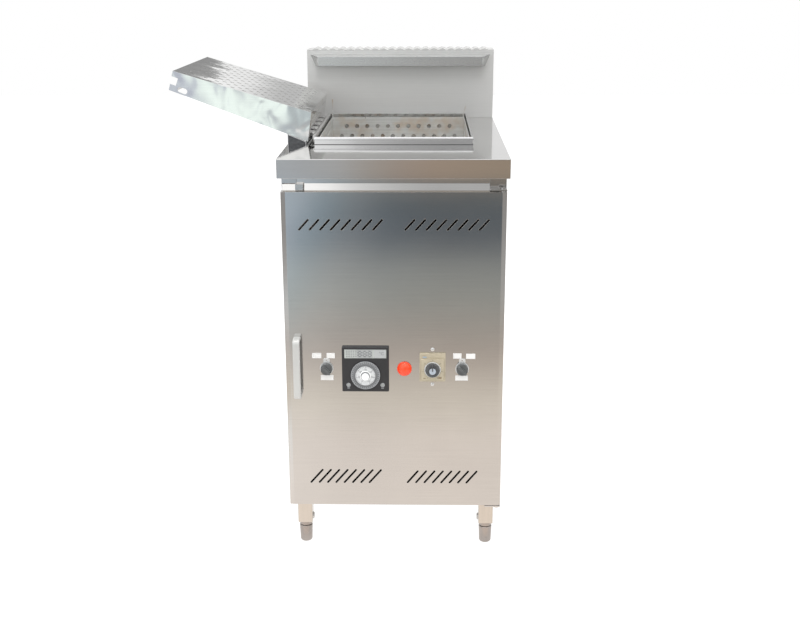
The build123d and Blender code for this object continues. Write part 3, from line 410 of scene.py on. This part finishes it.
def dial_scale():
    """Ticks every 10 degrees, a long one every 50, and numbers inside them."""
    bm = bmesh.new()
    for k in range(31):
        long = k % 5 == 0
        start, width = (16.4 * MM, 1.0 * MM) if long else (17.6 * MM, 0.7 * MM)
        spoke(bm, dial_x, dial_z, k * DIAL_SWEEP / 30 - 150, start, 19.8 * MM, width, face_y, PRINT)
    for k in range(7):
        x, z = around(dial_x, dial_z, 13.2 * MM, k * DIAL_SWEEP / 6 - 150)
        lettering(bm, str(50 * k), x, z, 4.6 * MM, face_y, PRINT)
    piece("dial_scale", bm, "temperature_dial", ink_grey)


def dial_rim():
    """The rim of the disc behind the hub, with its ribs."""
    bm = bmesh.new()
    raised_y = disc_y - 0.6 * MM
    turned(bm, dial_x, dial_z, [(DIAL_R - 1.5 * MM, disc_y), (DIAL_R - 0.2 * MM, disc_y),
                                (DIAL_R - 0.4 * MM, raised_y), (DIAL_R - 1.2 * MM, raised_y)])
    for k in range(40):
        spoke(bm, dial_x, dial_z, k * 9, 25.4 * MM, 28.2 * MM, 1.0 * MM, disc_y, 0.4 * MM)
    piece("dial_rim", bm, "temperature_dial", pale_grey)


def dial_cap():
    """The bright cap on the grip and the bright ring around its foot."""
    bm = bmesh.new()
    turned(bm, dial_x, dial_z, [(0, grip_y), (7.9 * MM, grip_y), (7.4 * MM, grip_y - 0.5 * MM),
                                (5.4 * MM, grip_y - 0.3 * MM), (0, grip_y - 0.25 * MM)])
    inner = GRIP_R + 0.6 * MM
    turned(bm, dial_x, dial_z, [(inner, face_y), (11.2 * MM, face_y), (10.6 * MM, hub_y - 1.4 * MM),
                                (inner, hub_y - 1.6 * MM)])
    piece("dial_cap", bm, "temperature_dial", bright_disc)


dial_face()
dial_scale()
dial_rim()
dial_cap()

# -------------------------------- the controller's display and indicators
strip_low, strip_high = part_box("controller_display")
strip_y = strip_low.y
strip_z = (strip_low.z + strip_high.z) / 2
strip_w, strip_h = strip_high.x - strip_low.x, strip_high.z - strip_low.z
window_x = strip_low.x + 0.485 * strip_w
GLASS = 0.25 * MM
DIGIT_W, DIGIT_H, DIGIT_PITCH, STROKE = 6.4 * MM, 11.5 * MM, 10.2 * MM, 1.9 * MM


def display_window():
    """The glass over the digits."""
    bm = bmesh.new()
    rounded(bm, window_x, strip_z, 0.37 * strip_w, strip_h - 1.2 * MM, 1.0 * MM, strip_y, GLASS)
    piece("display_window", bm, "door", lcd_glass)


def display_digits():
    """Three digits of seven segments each."""
    bm = bmesh.new()
    trim = STROKE * 0.6
    for k in (-1, 0, 1):
        cx = window_x + k * DIGIT_PITCH
        for z in (strip_z - DIGIT_H / 2, strip_z, strip_z + DIGIT_H / 2):
            bar(bm, cx - DIGIT_W / 2 + trim, cx + DIGIT_W / 2 - trim, z - STROKE / 2, z + STROKE / 2,
                strip_y - GLASS, PRINT)
        for x in (cx - DIGIT_W / 2, cx + DIGIT_W / 2):
            for z in (strip_z - DIGIT_H / 4, strip_z + DIGIT_H / 4):
                bar(bm, x - STROKE / 2, x + STROKE / 2, z - DIGIT_H / 4 + trim, z + DIGIT_H / 4 - trim,
                    strip_y - GLASS, PRINT)
    piece("display_digits", bm, "door", lcd_segment)


def display_unit_panel():
    """The pale panel behind the unit."""
    bm = bmesh.new()
    middle = strip_high.x - 0.155 * strip_w
    rounded(bm, middle, strip_z, 0.27 * strip_w, strip_h - 1.4 * MM, 1.0 * MM, strip_y, 0.2 * MM)
    piece("display_unit_panel", bm, "door", panel_grey)


def display_marks():
    """The unit at the right and a block of dashes at the left."""
    bm = bmesh.new()
    lettering(bm, "\u00b0C", strip_high.x - 10 * MM, strip_z + 0.5 * MM, 9 * MM, strip_y - 0.2 * MM, PRINT)
    for row in range(4):
        for column in range(5):
            x = strip_low.x + (4 + 4.6 * column) * MM
            z = strip_z + (row - 1.5) * 3.9 * MM
            bar(bm, x, x + 2.6 * MM, z - 0.8 * MM, z + 0.8 * MM, strip_y, PRINT)
    piece("display_marks", bm, "door", ink_grey)


def indicator_rings():
    """A ring around each indicator and a dash under it."""
    lamp_low, lamp_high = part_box("controller_indicators")
    back, ahead = door_face - 7 * MM, door_face - 7.6 * MM
    z = lamp_low.z + 3 * MM
    bm = bmesh.new()
    for x in (lamp_low.x + 3 * MM, lamp_high.x - 3 * MM):
        turned(bm, x, z, [(3.2 * MM, back), (4.4 * MM, back), (4.1 * MM, ahead), (3.4 * MM, ahead)], 32)
        bar(bm, x - 2.6 * MM, x + 2.6 * MM, z - 7.4 * MM, z - 6.0 * MM, back, PRINT)
    piece("indicator_rings", bm, "door", pale_grey)


display_window()
display_digits()
display_unit_panel()
display_marks()
indicator_rings()

# -------------------------------- the timer's scale, knob cap and screws
timer_low, timer_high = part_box("timer_body")
KNOB_R = 14.5 * MM
timer_x = (timer_low.x + timer_high.x) / 2
timer_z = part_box("timer_knob")[0].z + KNOB_R
timer_face = door_face - 8 * MM


def timer_ring():
    """The pale ring around the knob."""
    bm = bmesh.new()
    ahead = timer_face - 0.5 * MM
    turned(bm, timer_x, timer_z, [(KNOB_R + 0.3 * MM, timer_face), (16.8 * MM, timer_face),
                                  (16.4 * MM, ahead), (KNOB_R + 0.6 * MM, ahead)])
    piece("timer_ring", bm, "door", white_disc)


def timer_scale():
    """Ticks and numbers on the frame around the knob."""
    bm = bmesh.new()
    for k in range(25):
        spoke(bm, timer_x, timer_z, k * 12.5 - 150, 17.2 * MM, 18.4 * MM, 0.4 * MM, timer_face, 0.1 * MM)
    for k in range(7):
        x, z = around(timer_x, timer_z, 20.4 * MM, k * 50 - 150)
        lettering(bm, str(5 * k), x, z, 3.0 * MM, timer_face, 0.1 * MM)
    piece("timer_scale", bm, "door", ink_and_shade)


def timer_cap():
    """The grey cap in the middle of the knob."""
    bm = bmesh.new()
    y = door_face - 18.9 * MM
    turned(bm, timer_x, timer_z, [(0, y), (6.9 * MM, y), (6.6 * MM, y - 0.45 * MM),
                                  (5.2 * MM, y - 0.25 * MM), (0, y - 0.2 * MM)])
    piece("timer_cap", bm, "timer_dial", cap_grey)


def timer_marks():
    """A blue dash near the frame's top left corner and two brown ones near its lower edge."""
    bm = bmesh.new()
    top = timer_high.z - 5 * MM
    bar(bm, timer_x - 20 * MM, timer_x - 12 * MM, top - 3.4 * MM, top, timer_face, PRINT)
    piece("timer_blue_mark", bm, "door", blue_mark)
    bm = bmesh.new()
    foot = timer_low.z + 7 * MM
    bar(bm, timer_x + 12 * MM, timer_x + 18.5 * MM, foot, foot + 3.5 * MM, timer_face, PRINT)
    bar(bm, timer_x - 19 * MM, timer_x - 14 * MM, foot, foot + 1.4 * MM, timer_face, PRINT)
    piece("timer_brown_marks", bm, "door", brown_mark)


def timer_screws():
    """A cross-head screw above and below the frame."""
    bm = bmesh.new()
    crown = door_face - 2.0 * MM
    for z in (timer_low.z - 7.5 * MM, timer_high.z + 7.5 * MM):
        turned(bm, timer_x, z, [(0, door_face), (3.9 * MM, door_face), (3.6 * MM, door_face - 1.1 * MM),
                                (2.4 * MM, door_face - 1.8 * MM), (0, crown)], 32)
        for w, h in ((4.4 * MM, 0.9 * MM), (0.9 * MM, 4.4 * MM)):
            bar(bm, timer_x - w / 2, timer_x + w / 2, z - h / 2, z + h / 2, crown, 0.1 * MM)
    piece("timer_screws", bm, "door", tag_zinc)


timer_ring()
timer_scale()
timer_cap()
timer_marks()
timer_screws()


# -------------------------------- the lid rest's end plate and the collar's foot line, both painted shade
def rest_end_plate():
    """A dark plate that closes the front end of the lid rest, set back in its fold; its near-black steel is
    painted shade.
    """
    rest_low, rest_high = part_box("lid_rest")
    front_end = [v.co for v in nodes["lid_rest"].data.vertices if v.co.y < rest_low.y + 0.1 * MM]
    floor_line, roof_line = [], []
    for x, inward in ((rest_low.x, 1), (rest_high.x, -1)):
        heights = [v.z for v in front_end if abs(v.x - x) < 0.1 * MM]
        side = x + inward * 1.2 * MM
        floor_line.append((side, min(heights) + 0.05 * MM))
        roof_line.append((side, max(heights) - 1.3 * MM))
    bm = bmesh.new()
    prism(bm, floor_line + roof_line[::-1], rest_low.y + 3.5 * MM, 1.5 * MM)
    piece("rest_end_plate", bm, "cabinet", painted_shade_steel)


def collar_shade_line():
    """A black bead where the collar meets the counter: painted shade in the crease between them."""
    low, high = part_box("well_collar")
    inset = 1.2 * MM
    left, right, near, far = low.x + inset, high.x - inset, low.y + inset, high.y - inset
    corners = [(x, y, counter_top) for x, y in ((left, near), (right, near), (right, far), (left, far))]
    # the black bead here is painted shade, standing for the dark crease at the collar's foot
    loop_tube("collar_shade_line", corners, 0.9 * MM, "cabinet", ink_and_shade)


rest_end_plate()
collar_shade_line()

# -------------------------------- camera
CAMERA_AT = Vector((0.0626, -2.6269, 1.1946))
PITCH, YAW, ROLL = 0.2926, -0.0223, -0.003      # radians
FOCAL_LENGTH, SENSOR_WIDTH = 52.70, 36.0        # millimetres
forward = Vector((math.sin(YAW) * math.cos(PITCH), math.cos(YAW) * math.cos(PITCH), -math.sin(PITCH)))
level = Vector((math.cos(YAW), -math.sin(YAW), 0))
upright = level.cross(forward)
right = level * math.cos(ROLL) + upright * math.sin(ROLL)
up = upright * math.cos(ROLL) - level * math.sin(ROLL)
camera = bpy.data.objects.new("camera", bpy.data.cameras.new("camera"))
scene.collection.objects.link(camera)
turn = Matrix((right, up, -forward)).transposed()
camera.matrix_world = Matrix.Translation(CAMERA_AT) @ turn.to_4x4()
camera.data.lens = FOCAL_LENGTH
camera.data.sensor_width = SENSOR_WIDTH
scene.camera = camera

# -------------------------------- studio floor and the cards that reflections see
scene.view_settings.view_transform = "Standard"
scene.view_settings.look = "None"

FLOOR_HALF = 9.0
ROOM_HALF, ROOM_HIGH = 6.0, 5.0
FRONT_WALL, REAR_WALL, SIDE_WALL = door_face - 4.5, 3.6, 5.9
AHEAD_LEFT, AHEAD_RIGHT = -1.25, 1.15          # sides of the floor card that the door reflects
ABOVE_FLOOR = 0.001
FALL = ((0.0, 1.0), (0.4, 0.98), (1.1, 0.84), (1.9, 0.58), (3.0, 0.40), (6.0, 0.34))


def floor():
    """The plain pale floor that the cabinet stands on."""
    mesh = bpy.data.meshes.new("floor")
    corners = [(-FLOOR_HALF, -FLOOR_HALF, 0), (FLOOR_HALF, -FLOOR_HALF, 0), (FLOOR_HALF, FLOOR_HALF, 0),
               (-FLOOR_HALF, FLOOR_HALF, 0)]
    mesh.from_pydata(corners, [], [(0, 1, 2, 3)])
    o = bpy.data.objects.new("floor", mesh)
    scene.collection.objects.link(o)
    paint = Nodes("floor_paint")
    tone = paint.ramp(paint.noise(2.0), (0.3, (0.27, 0.27, 0.27)), (0.7, (0.29, 0.29, 0.29)))
    paint.link(tone, paint.shader.inputs["Base Color"])
    paint.set(Roughness=0.9, Emission_Strength=0.86)
    paint.shader.inputs["Emission Color"].default_value = (1, 1, 1, 1)
    mesh.materials.append(paint.material)


def span(tree, value, low, high):
    """The value's place from low to high, as 0 to 1."""
    node = tree.nodes.new("ShaderNodeMapRange")
    node.inputs["From Min"].default_value = low
    node.inputs["From Max"].default_value = high
    tree.links.new(value, node.inputs["Value"])
    return node.outputs["Result"]


def band(tree, value, stops):
    """Colours along one coordinate, from stops of (place, colour) in rising order."""
    low, high = stops[0][0], stops[-1][0]
    node = tree.nodes.new("ShaderNodeValToRGB")
    while len(node.color_ramp.elements) < len(stops):
        node.color_ramp.elements.new(0.5)
    for element, (place, colour) in zip(node.color_ramp.elements, stops):
        element.position = (place - low) / (high - low)
        element.color = (*colour, 1)
    tree.links.new(span(tree, value, low, high), node.inputs["Fac"])
    return node.outputs["Color"]


def card(name, corners, axis, rows):
    """A plain glowing card that only reflections see. Each row is (place along axis, colours across X)."""
    mesh = bpy.data.meshes.new(name)
    mesh.from_pydata(corners, [], [(0, 1, 2, 3)])
    o = bpy.data.objects.new(name, mesh)
    scene.collection.objects.link(o)
    material = bpy.data.materials.new(name)
    material.use_nodes = True
    tree = material.node_tree
    tree.nodes.clear()
    out = tree.nodes.new("ShaderNodeOutputMaterial")
    glow = tree.nodes.new("ShaderNodeEmission")
    tree.links.new(glow.outputs[0], out.inputs["Surface"])
    place = tree.nodes.new("ShaderNodeTexCoord")
    split = tree.nodes.new("ShaderNodeSeparateXYZ")
    tree.links.new(place.outputs["Object"], split.inputs[0])
    across, along = split.outputs[0], split.outputs[axis]
    low, stops = rows[0]
    colour = band(tree, across, stops)
    for high, stops in rows[1:]:
        mix = tree.nodes.new("ShaderNodeMix")
        mix.data_type = "RGBA"
        tree.links.new(span(tree, along, low, high), mix.inputs["Factor"])
        tree.links.new(colour, mix.inputs[6])
        tree.links.new(band(tree, across, stops), mix.inputs[7])
        colour = mix.outputs[2]
        low = high
    tree.links.new(colour, glow.inputs["Color"])
    mesh.materials.append(material)
    o.visible_camera = False
    o.visible_diffuse = False
    o.visible_shadow = False
    o.visible_transmission = False


def floor_card(name, x0, x1, y0, y1, rows):
    """A level card just above the floor, with rows along Y."""
    z = ABOVE_FLOOR
    card(name, [(x0, y0, z), (x1, y0, z), (x1, y1, z), (x0, y1, z)], 1, rows)


def wall_card(name, x0, x1, y, z0, z1, rows):
    """An upright card that faces the cabinet's front or back, with rows along Z."""
    card(name, [(x0, y, z0), (x1, y, z0), (x1, y, z1), (x0, y, z1)], 2, rows)


def grey(v, warm=0.0):
    """A grey of this brightness, a little redder and less blue by the share warm."""
    return (v * (1 + warm), v, v * (1 - warm))


def fall(away):
    """Brightness of the floor at a distance from the cabinet."""
    for (a, u), (b, v) in zip(FALL, FALL[1:]):
        if away <= b:
            return u + (v - u) * (away - a) / (b - a)
    return FALL[-1][1]


def fall_row(away):
    """Floor colours across X on a line that passes the cabinet at this distance."""
    places = [-x for x, v in FALL[:0:-1]] + [x for x, v in FALL[1:]]
    return [(x, grey(fall(max(abs(x), away)), 0.02)) for x in places]


def front_floor():
    """The floor that the door reflects: warm and bright near it, dark far off, a cool pool at the left."""
    by_distance = [(4.5, (0.12, 0.155, 0.17)), (3.45, (0.13, 0.155, 0.18)), (2.95, (0.155, 0.175, 0.20)),
                   (2.5, (0.37, 0.385, 0.375)), (2.0, (0.43, 0.44, 0.41)), (1.54, (0.53, 0.485, 0.435)),
                   (1.3, (0.62, 0.545, 0.48)), (0.9, (0.93, 0.85, 0.74)), (0.6, (1.05, 0.95, 0.865)),
                   (0.0, (1.11, 1.01, 0.925))]
    pool = [(-0.95, (0.52, 0.60, 0.68)), (-0.75, (0.44, 0.55, 0.65)), (-0.63, (0.44, 0.49, 0.56)),
            (-0.5, (0.15, 0.23, 0.28)), (-0.33, (0.12, 0.13, 0.14)), (-0.13, (0.01, 0.02, 0.03)),
            (0.1, (0, 0, 0)), (0.8, (0, 0, 0))]
    pool_core = -0.51            # left of this the pool is only seen from 1 m on
    rows = []
    for away, tone in by_distance:
        faded = min(1.0, max(0.0, away - 1.0))
        row = []
        for x, add in pool:
            share = 1 if x > pool_core else faded
            row.append((x, tuple(t + a * share for t, a in zip(tone, add))))
        edge = grey(fall(max(-AHEAD_LEFT, away)), 0.02)
        rows.append((door_face - away, [(AHEAD_LEFT, edge)] + row + [(AHEAD_RIGHT, edge)]))
    floor_card("front_floor", AHEAD_LEFT, AHEAD_RIGHT, FRONT_WALL, door_face, rows)


def other_floors():
    """The floor beside and behind the cabinet, for its sides and back."""
    rows = [(door_face - away, fall_row(away)) for away in (4.5, 3.0, 1.9, 1.1, 0.4, 0.0)]
    floor_card("left_floor", -ROOM_HALF, AHEAD_LEFT, FRONT_WALL, door_face, rows)
    floor_card("right_floor", AHEAD_RIGHT, ROOM_HALF, FRONT_WALL, door_face, rows)
    rows = [(door_face, fall_row(0))] + [(y, fall_row(y)) for y in (0.4, 1.1, 1.9, 3.0)]
    floor_card("rear_floor", -ROOM_HALF, ROOM_HALF, door_face, REAR_WALL, rows)


def front_wall():
    """The wall behind the viewer: low for the apron, middle for the backsplash, high for the drip strip."""
    low = [(-1.2, (0.56, 0.59, 0.64)), (-0.82, (0.55, 0.585, 0.62)), (-0.45, (0.56, 0.565, 0.56)),
           (-0.26, (0.50, 0.455, 0.41)), (-0.07, (0.485, 0.40, 0.335)), (0.11, (0.49, 0.385, 0.30)),
           (0.6, (0.46, 0.365, 0.275))]
    middle = [(-1.7, (0.66, 0.70, 0.80)), (-1.45, (0.60, 0.63, 0.73)), (-1.3, (0.74, 0.79, 0.88)),
              (-1.18, (1.08, 1.19, 1.15)), (-1.0, (1.3, 1.44, 1.36)), (-0.84, (1.3, 1.43, 1.38)),
              (-0.74, (0.60, 0.68, 0.72)), (-0.55, (0.60, 0.66, 0.68)), (-0.05, (0.53, 0.54, 0.53)),
              (0.2, (0.38, 0.38, 0.37)), (0.5, (0.14, 0.14, 0.135))]
    high = [(-1.2, grey(1.45)), (-0.74, grey(1.42)), (-0.55, grey(1.34)), (-0.38, grey(0.88)),
            (-0.09, grey(0.62)), (0.15, grey(0.54)), (0.38, grey(0.58)), (0.6, grey(0.5))]
    wall_card("room_wall", -ROOM_HALF, ROOM_HALF, FRONT_WALL, 0, ROOM_HIGH,
              [(0.0, low), (0.18, low), (0.25, middle), (1.2, middle), (1.5, high)])


def rear_wall():
    """The wall that the counter and, higher, the open lid reflect, with a dark flag at its left."""
    flag_top = [(-2.4, grey(0.34)), (-0.7, grey(0.42))]
    flag_foot = [(-2.4, grey(0.2)), (-0.7, grey(0.26))]
    wall_card("dark_flag", -2.4, -0.72, 3.2, 0.9, 2.4, [(0.9, flag_foot), (2.4, flag_top)])
    low = [(-0.70, grey(0.95)), (-0.62, grey(0.9)), (-0.5, grey(0.66)), (-0.44, grey(0.56)),
           (-0.29, grey(0.56)), (-0.15, grey(0.75)), (0.3, grey(0.85)), (0.45, grey(0.9))]
    high = [(-0.70, grey(1.08)), (-0.6, grey(1.0)), (-0.48, grey(0.82)), (-0.36, grey(0.55)),
            (-0.2, grey(0.6)), (0.45, grey(0.95))]
    wall_card("back_wall", -ROOM_HALF, ROOM_HALF, REAR_WALL, 0, ROOM_HIGH,
              [(0.0, low), (1.52, low), (1.68, high), (ROOM_HIGH, high)])


def side_walls():
    """The walls at the far left and right, darker near the floor."""
    by_height = [(0.0, grey(0.36)), (0.8, grey(0.55)), (1.8, grey(0.8)), (ROOM_HIGH, grey(1.0))]
    rows = [(z, [(-ROOM_HALF, colour), (ROOM_HALF, colour)]) for z, colour in by_height]
    y, top = ROOM_HALF, ROOM_HIGH
    for name, x in (("left_wall", -SIDE_WALL), ("right_wall", SIDE_WALL)):
        card(name, [(x, -y, 0), (x, y, 0), (x, y, top), (x, -y, top)], 2, rows)


floor()
front_floor()
other_floors()
front_wall()
rear_wall()
side_walls()


# -------------------------------- lights and sky
def area(name, at, towards, size, power, colour=(1, 1, 1)):
    """A soft light that shows neither itself nor a reflection of itself."""
    light = bpy.data.lights.new(name, "AREA")
    light.shape = "RECTANGLE"
    light.size, light.size_y = size
    light.energy = power
    light.color = colour
    o = bpy.data.objects.new(name, light)
    scene.collection.objects.link(o)
    o.location = at
    o.rotation_mode = "QUATERNION"
    o.rotation_quaternion = (Vector(towards) - Vector(at)).to_track_quat("-Z", "Y")
    o.visible_camera = False
    o.visible_glossy = False


def sky():
    """White to the camera; to everything else a room that brightens from the horizon to overhead."""
    world = bpy.data.worlds.new("studio")
    scene.world = world
    world.use_nodes = True
    tree = world.node_tree
    tree.nodes.clear()
    out = tree.nodes.new("ShaderNodeOutputWorld")
    seen = tree.nodes.new("ShaderNodeBackground")
    seen.inputs["Color"].default_value = (1, 1, 1, 1)
    room = tree.nodes.new("ShaderNodeBackground")
    direction = tree.nodes.new("ShaderNodeTexCoord")
    height = tree.nodes.new("ShaderNodeSeparateXYZ")
    tree.links.new(direction.outputs["Generated"], height.inputs[0])
    brightness = tree.nodes.new("ShaderNodeValToRGB")
    stops = brightness.color_ramp.elements
    stops.new(0.62)
    tones = ((0.48, (0.55, 0.55, 0.56)), (0.62, grey(1.0)), (0.80, grey(1.4)))
    for stop, (place, colour) in zip(stops, tones):
        stop.position = place
        stop.color = (*colour, 1)
    tree.links.new(span(tree, height.outputs["Z"], -1.0, 1.0), brightness.inputs["Fac"])
    tree.links.new(brightness.outputs["Color"], room.inputs["Color"])
    which = tree.nodes.new("ShaderNodeLightPath")
    join = tree.nodes.new("ShaderNodeMixShader")
    tree.links.new(which.outputs["Is Camera Ray"], join.inputs["Fac"])
    tree.links.new(room.outputs[0], join.inputs[1])
    tree.links.new(seen.outputs[0], join.inputs[2])
    tree.links.new(join.outputs[0], out.inputs["Surface"])


area("top_light", (0.0, -0.6, 3.4), (0, 0, 0.4), (3.2, 2.6), 22)
area("left_light", (-2.6, -1.8, 2.0), (0, 0, 0.6), (1.4, 1.8), 10, (0.95, 0.98, 1.0))
area("right_light", (2.6, -1.4, 1.4), (0, 0, 0.5), (1.2, 1.6), 5)
area("well_light", (0.0, -0.5, 2.2), (0, 0.1, 0.8), (0.8, 0.8), 22)
sky()
